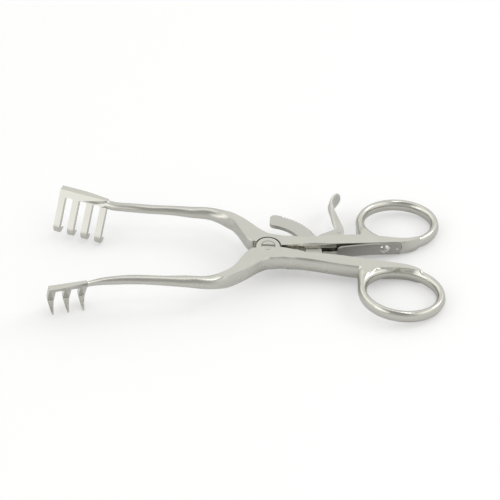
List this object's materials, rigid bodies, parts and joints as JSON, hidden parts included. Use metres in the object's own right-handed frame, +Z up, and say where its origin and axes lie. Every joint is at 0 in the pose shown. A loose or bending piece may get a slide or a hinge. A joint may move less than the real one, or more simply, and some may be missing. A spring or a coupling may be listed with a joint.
{
  "type": "self retaining retractor",
  "caption": "Hinged surgical retractor with finger rings, sharp-pronged jaws that spread when the rings are squeezed, and a ratchet with a thumb release.",
  "frame": {"origin": "centre of the footprint, on the surface that the prong tips and the ring undersides stand on", "axes": "+X towards the finger rings, +Y towards the four-prong arm, +Z up; the hinge axis leans 5.77 degrees from +Z towards +X"},
  "size_m": [0.1718, 0.0762, 0.0217],
  "materials": {
    "satin_steel": "satin, bead-blasted stainless steel",
    "ground_steel": "matte ground stainless steel",
    "polished_steel": "polished stainless steel",
    "spring_steel": "rolled spring steel strip"
  },
  "bodies": {
    "three_prong_side": {"three_prong_arm": "satin_steel", "joint_screw": "polished_steel", "ratchet_rack": "ground_steel", "rack_rivet_near": "satin_steel", "rack_rivet_far": "satin_steel"},
    "four_prong_side": {"four_prong_arm": "satin_steel", "lever_pin": "satin_steel", "leaf_spring": "spring_steel", "spring_screw": "polished_steel", "spring_peg": "satin_steel"},
    "lever": {"release_lever": "ground_steel"}
  },
  "joints": [
    {"name": "arm_hinge", "type": "hinge", "parent": "three_prong_side", "child": "four_prong_side", "pos_m": [0.0112, -0.00055, 0.01039], "axis": [0.1006, 0, 0.9949], "range_deg": [-8.4, 33.6]},
    {"name": "lever_hinge", "type": "hinge", "parent": "four_prong_side", "child": "lever", "pos_m": [0.04284, 0.00645, 0.00719], "axis": [0.1006, 0, 0.9949], "range_deg": [-12, 3.5], "stiffness_Nm_per_rad": 0.05, "deforming": ["leaf_spring"]}
  ]
}
